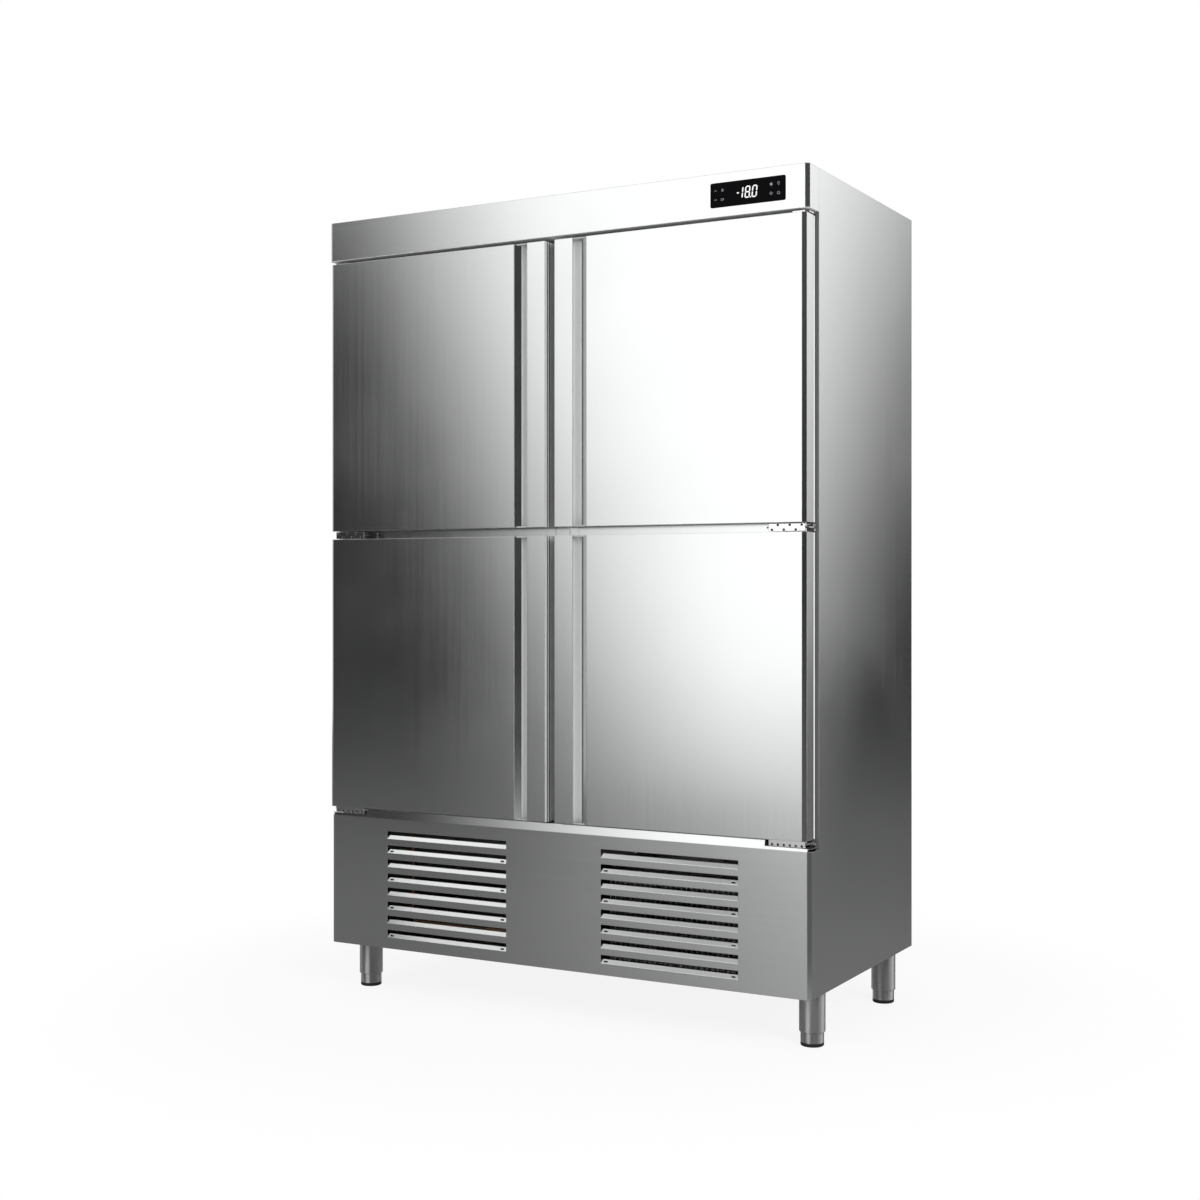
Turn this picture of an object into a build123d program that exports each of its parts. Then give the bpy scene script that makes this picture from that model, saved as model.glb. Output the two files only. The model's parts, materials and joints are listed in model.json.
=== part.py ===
from build123d import *
import math
import os

# Upright two-column freezer cabinet with four half doors and its machine unit below.
# Millimetres, X to the right, Y to the back, Z up, origin on the floor under the middle.

# Overall front, from the floor up
cabinet_width = 1388.0
cabinet_depth = 726.0
leg_height = 134.0
grille_height = 344.0
grille_door_gap = 25.0
door_height = 717.5
door_row_gap = 22.0
door_header_gap = 10.0
header_height = 103.0

# Depth of the front, from the door face back
door_thickness = 58.0
gasket_thickness = 8.0
gasket_clearance = 0.2
header_setback = 4.0
header_frame_gap = 6.0
grille_setback = 15.0
edge_bevel_width = 9.3
edge_bevel_depth = 7.5

# Sheet metal
outer_sheet = 1.2
liner_sheet = 1.0
base_sheet = 2.0

# Insulated box
side_wall = 62.0
back_wall = 60.0
floor_wall = 60.0
frame_depth = 40.0
door_overlap = 22.0
mullion_width = 94.0
mullion_strip_width = 41.0
strip_line_width = 1.2
strip_line_depth = 0.7

# Doors
door_side_inset = 6.4
door_centre_gap = 28.0
door_sheet = 1.0
door_liner_depth = 10.0
door_liner_sheet = 1.5
door_liner_inset = 1.0
door_plateau_depth = 10.0
door_plateau_margin = 12.0
door_cap_height = 12.0
door_cap_plug = 3.5
door_cap_setback = 3.0
gasket_width = 16.0
gasket_base_width = 10.0
gasket_edge_inset = 4.0
gasket_free_inset = 10.0
gasket_hinge_inset = 31.0

# Recessed handle along the free edge of each door
grip_strip_width = 52.4
handle_mouth = 21.1
handle_ramp_width = 17.7
handle_ramp_depth = 8.3
handle_trough_radius = 16.5
handle_lip = 4.5
handle_wall = 1.5
edge_groove_depth = 3.0
edge_groove_width = 6.0
edge_rib_width = 5.0
edge_lip_width = 10.0
edge_groove_count = 2

# Hinges
hinge_pivot_inset = 18.0
hinge_pivot_depth = 29.0
hinge_plate = 4.0
hinge_front_reach = 13.0
hinge_top_reach = 30.0
hinge_arm_reach = 90.0
hinge_chamfer = 8.0
hinge_corner = 8.0
hinge_bottom_drop = 5.0
hinge_top_lift = 3.0
hinge_flange_up = 34.0
hinge_flange_down = 26.0
hinge_flange_margin = 2.0
hinge_leaf_rise = 3.5
hinge_leaf_drop = 8.0
hinge_leaf_hole_radius = 2.8
hinge_leaf_hole_pitch = 15.0
hinge_leaf_hole_count = 6
pin_radius = 5.0
pin_running_clearance = 0.05
pin_engagement = 10.0
pin_tip_clearance = 0.5
collar_radius = 8.0
collar_clearance = 0.3
pin_head = 2.0
screw_shank_radius = 2.0
screw_hole_clearance = 0.2
screw_head_radius = 3.3
screw_head_height = 2.5
screw_length = 14.0
screw_spread = 30.0

# Display on the header
display_width = 193.0
display_height = 58.6
display_edge_offset = 58.0
display_plate = 1.0
display_corner = 4.0
display_rim = 5.0
housing_depth = 35.0
housing_clearance = 1.0

# Louvres of the lower panel
louvre_count = 8
louvre_pitch = 37.3
louvre_length = 371.8
louvre_inner_edge = 137.9
louvre_top_offset = 33.0
louvre_opening = 10.4
louvre_lip = 10.2
louvre_lip_depth = 6.0
lip_slot_length = 10.0
lip_slot_height = 3.0
lip_slot_rise = 3.0
lip_slot_inset = 8.0
ledge_door_gap = 4.0
ledge_bevel_slope = 0.195
ledge_screw_gap = 1.0
ledge_bracket_gap = 1.0
ledge_notch_gap = 2.0

# Air outlet in the back panel
vent_count = 7
vent_pitch = 30.0
vent_length = 380.0
vent_height = 8.0
vent_lip_rise = 10.0
vent_lip_depth = 6.0
vent_first = 66.0
vent_centre = 330.0

# Legs
leg_side_inset = 44.0
leg_front_inset = 132.7
leg_rear_inset = 98.7
leg_tube_radius = 31.5
leg_tube_wall = 3.0
leg_tube_chamfer = 2.0
foot_clearance = 0.4
foot_step_height = 33.0
foot_wall = 3.0
foot_pad_height = 9.0
foot_pad_chamfer = 2.0
leg_cap = 6.0
leg_cap_clearance = 0.3

# Shelves
upright_width = 25.0
upright_thickness = 12.0
upright_height = 1150.0
upright_front_inset = 60.0
upright_rear_inset = 80.0
upright_slot_pitch = 50.0
upright_slot_height = 12.0
upright_slot_width = 4.0
upright_slot_depth = 4.0
centre_post_gap = 8.0
support_leg = 20.0
support_sheet = 1.5
support_overhang = 15.0
shelf_count = 3
shelf_first = 275.0
shelf_pitch = 290.0
shelf_clearance = 2.5
shelf_frame = 8.0
shelf_wire_radius = 2.5
shelf_wire_pitch = 36.0

# Evaporator under the ceiling
evaporator_side_gap = 92.0
evaporator_cover_inset = 160.0
evaporator_cover_drop = 218.0
evaporator_cover_slope = 15.0
evaporator_coil_side_gap = 110.0
evaporator_coil_depth = 170.0
evaporator_coil_height = 150.0
evaporator_coil_top_gap = 10.0
evaporator_coil_rear_gap = 60.0
evaporator_fan_spacing = 520.0
evaporator_fan_drop = 108.0

# Fans, all three alike
fan_hole_radius = 92.0
fan_blade_radius = 84.0
fan_hub_radius = 25.0
fan_hub_length = 28.0
fan_blade_count = 5
fan_blade_thickness = 2.0
fan_blade_width = 40.0
fan_blade_pitch = 32.0
fan_plate_gap = 10.0
motor_gap = 6.0
motor_radius = 36.0
motor_length = 50.0
motor_bore_depth = 26.0
shaft_radius = 4.0
shaft_clearance = 0.05
shaft_tip_clearance = 1.0
strap_width = 24.0
strap_sheet = 3.0
strap_overhang = 14.0
strap_leg = 10.0
guard_bar = 3.0
guard_ring_count = 4
guard_rim = 8.0

# Machine unit
condenser_left = 150.0
condenser_width = 350.0
condenser_height = 260.0
condenser_depth = 70.0
condenser_front_gap = 27.0
shroud_depth = 35.0
shroud_sheet = 1.5
coil_tube_radius = 5.0
coil_end_plate = 2.0
coil_fin = 1.0
condenser_fin_count = 24
evaporator_fin_count = 28
coil_rows = 4
compressor_x = -180.0
compressor_rear_inset = 243.0
compressor_radius = 85.0
compressor_height = 190.0
compressor_dome = 40.0
compressor_plate = 4.0
compressor_plate_length = 220.0
compressor_plate_width = 180.0
compressor_foot_radius = 12.0
compressor_foot_height = 14.0
stub_radius = 7.0
stub_length = 14.0
terminal_box_width = 60.0
terminal_box_depth = 40.0
terminal_box_height = 70.0
pipe_radius = 5.0
pipe_bend = 14.0
pipe_turn = 42.0
pipe_loop_drop = 28.0
drier_radius = 12.0
drier_length = 100.0
duct_side_inset = 194.0
duct_width = 110.0
duct_depth = 30.0
duct_head = 60.0
pipe_spread = 30.0
drain_radius = 8.0
drain_wall = 1.5
drain_bend = 14.0
pipe_hole_clearance = 0.5
tray_length = 300.0
tray_width = 170.0
tray_height = 40.0
tray_sheet = 2.0
tray_rear_gap = 12.0
drain_tray_gap = 15.0
gland_side_inset = 134.0
gland_rear_inset = 60.0
gland_radius = 10.0
gland_flange_radius = 15.0
gland_flange = 6.0
gland_length = 22.0
gland_clearance = 0.2

# Levels and planes worked out from the sizes above
half_width = cabinet_width / 2
y_door = -cabinet_depth / 2
y_back = cabinet_depth / 2
y_door_back = y_door + door_thickness
y_frame = y_door_back + gasket_thickness
y_header = y_door + header_setback
y_grille = y_door + grille_setback
z_grille_top = leg_height + grille_height
z_lower = z_grille_top + grille_door_gap
z_upper = z_lower + door_height + door_row_gap
z_header = z_upper + door_height + door_header_gap
z_top = z_header + header_height
z_middle = z_upper - door_row_gap / 2
x_inner = half_width - side_wall
evaporator_half_width = x_inner - evaporator_side_gap
evaporator_coil_half = evaporator_half_width - evaporator_coil_side_gap
duct_x = duct_side_inset - half_width
gland_x = half_width - gland_side_inset
y_inner_front = y_frame + frame_depth
y_inner_back = y_back - back_wall
z_floor = z_lower + door_overlap
z_ceiling = z_upper + door_height - door_overlap
z_machine_top = z_floor - floor_wall
z_base_top = leg_height + base_sheet
x_shell = half_width - outer_sheet
x_free = door_centre_gap / 2
x_hinge = half_width - door_side_inset
x_pivot = x_hinge - hinge_pivot_inset
y_pivot = y_door + hinge_pivot_depth
door_rows = {"lower": z_lower, "upper": z_upper}


def block(x0, x1, y0, y1, z0, z1):
    """Box between two corners."""
    return Pos((x0 + x1) / 2, (y0 + y1) / 2, (z0 + z1) / 2) * Box(x1 - x0, y1 - y0, z1 - z0)


def rod_x(radius, length, x, y, z):
    """Round bar along X, centred on a point."""
    return Pos(x, y, z) * Rot(0, 90, 0) * Cylinder(radius, length)


def rod_y(radius, y0, y1, x, z):
    """Round bar along Y between two planes."""
    return Pos(x, (y0 + y1) / 2, z) * Rot(90, 0, 0) * Cylinder(radius, y1 - y0)


def rod_z(radius, z0, z1, x, y):
    """Round bar along Z between two levels."""
    return Pos(x, y, (z0 + z1) / 2) * Cylinder(radius, z1 - z0)


def prism(points, z0, z1):
    """Upright prism on a plan outline."""
    return Pos(0, 0, z0) * extrude(Polygon(*points, align=None), z1 - z0, dir=(0, 0, 1))


def side_prism(points, x0, x1):
    """Prism along X on a Y and Z outline."""
    return Pos(x0, 0, 0) * extrude(Plane.YZ * Polygon(*points, align=None), x1 - x0, dir=(1, 0, 0))


def pressed_lip(x0, x1, y_face, inward, z0, rise, depth):
    """Sheet lip pressed inwards from the lower edge of an air slot, towards +Y or -Y."""
    s = outer_sheet * inward
    y_end = y_face + depth * inward
    fold = [(y_face, z0), (y_face + s, z0), (y_end + s, z0 + rise), (y_end, z0 + rise)]
    return side_prism(fold, x0, x1)


def both_sides(solid):
    """A right-hand piece and its mirror image on the left."""
    return [solid, mirror(solid, about=Plane.YZ)]


def save(name, *pieces):
    """Write one node: every separate solid of the pieces given."""
    solids = [s for piece in pieces for s in piece.solids()]
    shape = solids[0] if len(solids) == 1 else Compound(solids)
    export_step(shape, os.path.join("parts", name + ".step"))


# Bevelled front sheets: the turn of the bevel sets how far its inner corners shift
bevel_turn = math.atan2(edge_bevel_depth, edge_bevel_width)


def bevelled_plan(y_front, y_rear, x_edge, sheet):
    """Plan outline of a front panel with bevelled vertical edges, inset by a sheet thickness."""
    shift_x = sheet * math.tan(bevel_turn / 2)
    shift_y = sheet * math.tan((math.pi / 2 - bevel_turn) / 2)
    x_face = x_edge - edge_bevel_width - shift_x
    x_side = x_edge - sheet
    y_side = y_front + edge_bevel_depth + shift_y
    y_face = y_front + sheet
    right = [(x_face, y_face), (x_side, y_side), (x_side, y_rear)]
    left = [(-x, y) for x, y in reversed(right)]
    return left + right


def outer_panels():
    """Side, top, back and base sheets of the cabinet."""
    side = block(x_shell, half_width, y_frame, y_back, leg_height, z_top)
    save("side_panels", *both_sides(side))
    save("top_panel", block(-x_shell, x_shell, y_frame, y_back - outer_sheet, z_top - outer_sheet, z_top))

    back = block(-x_shell, x_shell, y_back - outer_sheet, y_back, leg_height, z_top)
    x0 = vent_centre - vent_length / 2
    x1 = vent_centre + vent_length / 2
    slots = []
    lips = []
    for row in range(vent_count):
        z0 = leg_height + vent_first + row * vent_pitch - vent_height / 2
        slots += both_sides(block(x0, x1, y_back - outer_sheet, y_back, z0, z0 + vent_height))
        lips += both_sides(pressed_lip(x0, x1, y_back, -1, z0, vent_lip_rise, vent_lip_depth))
    save("back_panel", back - slots + lips)

    base_plan = bevelled_plan(y_grille, y_back - outer_sheet, half_width, outer_sheet)
    base = prism(base_plan, leg_height, z_base_top)
    gland_y = y_back - gland_rear_inset
    hole = rod_z(gland_radius + gland_clearance, leg_height, z_base_top, gland_x, gland_y)
    save("base_panel", base - hole)
    gland = rod_z(gland_flange_radius, leg_height - gland_flange, leg_height, gland_x, gland_y)
    gland += rod_z(gland_radius, leg_height, leg_height + gland_length, gland_x, gland_y)
    bore = rod_z(gland_radius / 2, leg_height - gland_flange, leg_height + gland_length, gland_x, gland_y)
    save("cable_gland", gland - bore)


def pipe_holes(y0, y1):
    """Clearance holes where the pipes and the drain pass the back of the inner liner."""
    holes = [rod_y(drain_radius + pipe_hole_clearance, y0, y1, duct_x, z_drain)]
    for x, z in ((x_suction, z_suction), (x_liquid, z_liquid)):
        holes.append(rod_y(pipe_radius + pipe_hole_clearance, y0, y1, x, z))
    return holes


# Pipe levels behind the evaporator cover
z_cover_front = z_ceiling - evaporator_cover_drop
z_cover_rear = z_cover_front - evaporator_cover_slope
z_drain = z_cover_rear + outer_sheet + drain_radius + drain_wall
z_coil_top = z_ceiling - evaporator_coil_top_gap
z_coil_bottom = z_coil_top - evaporator_coil_height
z_suction = z_coil_bottom + evaporator_coil_height / 3
z_liquid = z_coil_bottom + evaporator_coil_height * 2 / 3
x_suction = duct_x - pipe_spread
x_liquid = duct_x + pipe_spread
y_duct = y_inner_back + liner_sheet + duct_depth / 2


def insulated_box():
    """Inner liner sheets and the foam between them and the outer panels."""
    y_rear = y_inner_back + liner_sheet
    wall = block(x_inner, x_inner + liner_sheet, y_inner_front, y_rear,
                 z_floor - liner_sheet, z_ceiling + liner_sheet)
    floor = block(-x_inner, x_inner, y_inner_front, y_rear, z_floor - liner_sheet, z_floor)
    ceiling = block(-x_inner, x_inner, y_inner_front, y_rear, z_ceiling, z_ceiling + liner_sheet)
    rear = block(-x_inner, x_inner, y_inner_back, y_rear, z_floor, z_ceiling)
    rear -= pipe_holes(y_inner_back, y_rear)
    save("inner_liner", *both_sides(wall), floor, ceiling, rear)

    foam = block(-x_shell, x_shell, y_inner_front, y_back - outer_sheet, z_machine_top, z_top - outer_sheet)
    x_cut = x_inner + liner_sheet
    foam -= block(-x_cut, x_cut, y_inner_front, y_rear, z_floor - liner_sheet, z_ceiling + liner_sheet)
    foam -= block(duct_x - duct_width / 2, duct_x + duct_width / 2, y_rear, y_rear + duct_depth,
                  z_machine_top, z_liquid + duct_head)
    save("insulation_foam", foam)


def tray_bar(x0, x1, z0, z1):
    """Folded frame bar: a front face with four returns, open at the back."""
    bar = block(x0, x1, y_frame, y_inner_front, z0, z1)
    s = outer_sheet
    return bar - block(x0 + s, x1 - s, y_frame + s, y_inner_front, z0 + s, z1 - s)


# Screw places of each hinge bracket, in X and Z on the frame face
screw_x = (x_pivot - screw_spread / 2 - hinge_flange_margin, x_pivot + screw_spread / 2 - hinge_flange_margin)
z_top_plate = z_header - hinge_top_lift - hinge_plate
z_bottom_plate = z_lower - hinge_bottom_drop - hinge_plate
middle_flange_half = door_row_gap / 2 - hinge_flange_margin
flange_middles = (
    z_bottom_plate - hinge_flange_down / 2,
    z_middle + (hinge_plate / 2 + middle_flange_half) / 2,
    z_top_plate + hinge_plate + hinge_flange_up / 2,
)


def screw_rods(radius, y0, y1):
    """One round bar at every hinge screw of the right-hand side."""
    return [rod_y(radius, y0, y1, x, z) for x in screw_x for z in flange_middles]


def front_frame():
    """Jambs, rails and mullion that the doors close on."""
    z_frame_top = z_top - outer_sheet
    jamb = tray_bar(x_inner, x_shell, z_machine_top, z_frame_top)
    jamb -= screw_rods(screw_shank_radius + screw_hole_clearance, y_frame, y_inner_front)
    bottom = tray_bar(-x_inner, x_inner, z_machine_top, z_floor)
    top = tray_bar(-x_inner, x_inner, z_ceiling, z_frame_top)

    s = outer_sheet
    half = mullion_width / 2
    mullion = block(-half, half, y_frame, y_inner_front, z_floor, z_ceiling)
    mullion -= block(-half + s, half - s, y_frame + s, y_inner_front - s, z_floor, z_ceiling)
    for x in (-mullion_strip_width / 2, mullion_strip_width / 2):
        mullion -= block(x - strip_line_width / 2, x + strip_line_width / 2,
                         y_frame, y_frame + strip_line_depth, z_floor, z_ceiling)

    rail_half = door_row_gap / 2 + door_overlap
    z0 = z_middle - rail_half
    z1 = z_middle + rail_half
    rail = block(half, x_inner, y_frame, y_inner_front, z0, z1)
    rail -= block(half, x_inner, y_frame + s, y_inner_front - s, z0 + s, z1 - s)
    save("front_frame", *both_sides(jamb), bottom, top, mullion, *both_sides(rail))


def header():
    """Header box with its display panel and the controller behind it."""
    s = outer_sheet
    panel = prism(bevelled_plan(y_header, y_frame, half_width, 0), z_header, z_top)
    panel -= prism(bevelled_plan(y_header, y_frame, half_width, s), z_header + s, z_top - s)
    panel -= block(-x_shell, x_shell, y_frame - header_frame_gap, y_frame, z_header, z_header + s)

    x = half_width - display_edge_offset - display_width / 2
    z = (z_header + z_top) / 2
    hole_width = display_width - 2 * display_rim
    hole_height = display_height - 2 * display_rim
    hole = Pos(x, y_header + s / 2, z) * Box(hole_width, s, hole_height)
    save("header_panel", panel - hole)

    plate = Plane((x, y_header, z), x_dir=(1, 0, 0), z_dir=(0, -1, 0))
    bezel = extrude(plate * RectangleRounded(display_width, display_height, display_corner), display_plate)
    save("display_panel", bezel)
    width = hole_width - 2 * housing_clearance
    height = hole_height - 2 * housing_clearance
    housing = Pos(x, y_header + housing_depth / 2, z) * Box(width, housing_depth, height)
    save("controller_housing", housing)


def grille_panel():
    """Lower front panel with two groups of louvres and a bevelled ledge on top."""
    s = outer_sheet
    plan = bevelled_plan(y_grille, y_frame, half_width, 0)
    panel = prism(plan, leg_height, z_grille_top)
    panel -= prism(bevelled_plan(y_grille, y_frame, half_width, s), leg_height, z_grille_top)

    def ledge_fold(z_ledge):
        y_ledge = y_frame - hinge_plate - screw_head_height - ledge_screw_gap
        y_bevel = y_grille + (z_ledge - z_grille_top) * ledge_bevel_slope
        return [(y_grille, z_grille_top), (y_grille + s, z_grille_top), (y_bevel + s, z_ledge - s),
                (y_ledge, z_ledge - s), (y_ledge, z_ledge), (y_bevel, z_ledge)]

    x_notch = x_pivot - hinge_arm_reach - ledge_notch_gap
    ledge = side_prism(ledge_fold(z_lower - ledge_door_gap), -x_notch, x_notch)
    z_notch = z_bottom_plate - hinge_leaf_drop - ledge_bracket_gap
    ledge += both_sides(side_prism(ledge_fold(z_notch), x_notch, half_width))
    ledge &= prism(plan, leg_height, z_lower)

    x0 = louvre_inner_edge
    x1 = louvre_inner_edge + louvre_length
    cuts = []
    lips = []
    for row in range(louvre_count):
        z1 = z_grille_top - louvre_top_offset - row * louvre_pitch
        z0 = z1 - louvre_opening - louvre_lip
        cuts += both_sides(block(x0, x1, y_grille, y_grille + s, z0, z1))
        lip = pressed_lip(x0, x1, y_grille, 1, z0, louvre_lip, louvre_lip_depth)
        if row % 2:
            z = z0 + lip_slot_rise
            for x in (x0 + lip_slot_inset, x1 - lip_slot_inset - lip_slot_length):
                lip -= block(x, x + lip_slot_length, y_grille, y_grille + louvre_lip_depth + s,
                             z, z + lip_slot_height)
        lips += both_sides(lip)
    save("grille_panel", panel - cuts + ledge + lips)


def hinge_plate_plan(x_inside):
    """Plan outline of a hinge bracket's arm, chamfered on its inner front corner."""
    y_front = y_pivot - hinge_front_reach
    return [(x_inside, y_frame), (x_inside, y_front + hinge_chamfer), (x_inside + hinge_chamfer, y_front),
            (x_hinge - hinge_corner, y_front), (x_hinge, y_front + hinge_corner), (x_hinge, y_frame)]


def hinges():
    """Brackets on the frame, the pins that carry the doors and the screws that hold the brackets."""
    x_arm = x_pivot - hinge_arm_reach
    x_short = x_pivot - hinge_top_reach
    y_flange = y_frame - hinge_plate
    hole = pin_radius + pin_running_clearance
    shank_holes = screw_rods(screw_shank_radius + screw_hole_clearance, y_flange, y_frame)

    y_leaf = y_pivot - hinge_front_reach
    x_leaf = (x_arm + hinge_chamfer, x_hinge - hinge_corner)

    def leaf(low, high):
        return block(*x_leaf, y_leaf, y_leaf + hinge_plate, low, high)

    def leaf_holes(heights):
        holes = []
        for i in range(hinge_leaf_hole_count):
            x = sum(x_leaf) / 2 + (i - (hinge_leaf_hole_count - 1) / 2) * hinge_leaf_hole_pitch
            z = heights[i % len(heights)]
            holes.append(rod_y(hinge_leaf_hole_radius, y_leaf, y_leaf + hinge_plate, x, z))
        return holes

    z0 = z_bottom_plate
    bottom = prism(hinge_plate_plan(x_arm), z0, z0 + hinge_plate)
    bottom += leaf(z0 - hinge_leaf_drop, z0 + hinge_plate + hinge_leaf_rise)
    bottom -= leaf_holes([z0 - hinge_leaf_drop / 2])
    bottom += block(x_arm, x_hinge, y_flange, y_frame, z0 - hinge_flange_down, z0)
    half = middle_flange_half
    middle = prism(hinge_plate_plan(x_arm), z_middle - hinge_plate / 2, z_middle + hinge_plate / 2)
    middle += block(x_arm, x_hinge, y_flange, y_frame, z_middle - half, z_middle + half)
    middle += leaf(z_middle - half, z_middle + half)
    hole_rise = (half + hinge_plate / 2) / 2
    middle -= leaf_holes([z_middle - hole_rise, z_middle + hole_rise])
    z1 = z_top_plate + hinge_plate
    top = prism(hinge_plate_plan(x_short), z_top_plate, z1)
    top += block(x_short, x_hinge, y_flange, y_frame, z1, z1 + hinge_flange_up)
    brackets = []
    for bracket in (bottom, middle, top):
        bored = bracket - rod_z(hole, z_bottom_plate, z_top, x_pivot, y_pivot) - shank_holes
        brackets += both_sides(bored)
    save("hinge_brackets", *brackets)

    def rod(radius, low, high):
        return rod_z(radius, low, high, x_pivot, y_pivot)

    low_pin = rod(pin_radius, z0, z_lower + pin_engagement)
    low_pin += rod(collar_radius, z0 + hinge_plate, z_lower - collar_clearance)
    mid_pin = rod(pin_radius, z_upper - door_row_gap - pin_engagement, z_upper + pin_engagement)
    mid_pin += rod(collar_radius, z_middle + hinge_plate / 2, z_upper - collar_clearance)
    mid_pin += rod(collar_radius, z_upper - door_row_gap + collar_clearance, z_middle - hinge_plate / 2)
    door_top = z_upper + door_height
    top_pin = rod(pin_radius, door_top - pin_engagement, z1 + pin_head)
    top_pin += rod(collar_radius, z1, z1 + pin_head)
    pins = [pin for piece in (low_pin, mid_pin, top_pin) for pin in both_sides(piece)]
    save("hinge_pins", *pins)

    heads = screw_rods(screw_head_radius, y_flange - screw_head_height, y_flange)
    shanks = screw_rods(screw_shank_radius, y_flange, y_flange + screw_length)
    screws = [screw for head, shank in zip(heads, shanks) for screw in both_sides(head + shank)]
    save("hinge_screws", *screws)


def legs():
    """Fixed leg tubes under the base and the levelling feet that screw into them."""
    x = half_width - leg_side_inset
    spots = {
        "front_left": (-x, y_door + leg_front_inset),
        "front_right": (x, y_door + leg_front_inset),
        "rear_left": (-x, y_back - leg_rear_inset),
        "rear_right": (x, y_back - leg_rear_inset),
    }
    bore = leg_tube_radius - leg_tube_wall
    tubes = []
    for name, (px, py) in spots.items():
        tube = rod_z(leg_tube_radius, foot_step_height, leg_height, px, py)
        tube = chamfer(tube.edges().group_by(Axis.Z)[0], leg_tube_chamfer)
        tubes.append(tube - rod_z(bore, foot_step_height, leg_height - leg_cap, px, py))

        radius = bore - foot_clearance
        foot_top = leg_height - leg_cap - leg_cap_clearance
        foot = rod_z(radius, foot_pad_height, foot_top, px, py)
        foot -= rod_z(radius - foot_wall, foot_step_height, foot_top, px, py)
        pad = rod_z(radius, 0, foot_pad_height, px, py)
        pad = chamfer(pad.edges().group_by(Axis.Z)[0], foot_pad_chamfer)
        save("foot_" + name, foot, pad)
    save("leg_tubes", *tubes)


def door_sections():
    """Plan sections of the right-hand door: skin, handle, core and cap."""
    rear = y_door_back - door_liner_depth
    x_lip = x_free + grip_strip_width
    x_mouth = x_lip + handle_mouth
    x_ramp = x_mouth + handle_ramp_width

    def at(x, depth):
        return (x, y_door + depth)

    def rect(xa, xb, da, db):
        return Polygon(at(xa, da), at(xb, da), at(xb, db), at(xa, db), align=None)

    plan = bevelled_plan(y_door, rear, x_hinge, 0)
    inset = bevelled_plan(y_door, rear, x_hinge, door_sheet)
    full_depth = rear - y_door
    right_part = rect(x_ramp, x_hinge, 0, full_depth)
    outline = Polygon(*plan, align=None) & rect(x_free, x_hinge, 0, full_depth)
    skin = (Polygon(*plan, align=None) - Polygon(*inset, align=None)) & right_part

    trough_x = x_mouth - handle_trough_radius
    x_pocket = trough_x - handle_trough_radius
    trough_depth = handle_ramp_depth + handle_trough_radius
    trough = Pos(*at(trough_x, handle_ramp_depth)) * Circle(handle_trough_radius)
    trough &= rect(x_pocket, x_mouth, handle_lip, trough_depth)
    mouth = Polygon(at(x_lip, 0), at(x_ramp, 0), at(x_mouth, handle_ramp_depth),
                    at(x_lip, handle_ramp_depth), align=None)
    air = mouth + trough

    wall = handle_wall
    left_part = rect(x_free, x_ramp, 0, full_depth)
    handle = (offset(air, wall) & left_part) - air
    handle += rect(x_free, x_lip, 0, wall)
    handle += rect(x_pocket - wall, x_lip, 0, handle_lip)
    edge = rect(x_free, x_free + edge_groove_depth + wall, 0, full_depth)
    for groove in range(edge_groove_count):
        start = edge_lip_width + groove * (edge_groove_width + edge_rib_width)
        end = min(start + edge_groove_width, full_depth)
        edge -= rect(x_free, x_free + edge_groove_depth, start, end)
    handle += edge

    grooves = left_part - rect(x_free + edge_groove_depth, x_ramp, 0, full_depth)
    filling = outline - skin - handle - grooves
    core = filling - air
    cap = filling - rect(x_lip, x_ramp, 0, door_cap_setback)
    return skin, handle, core, cap


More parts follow.
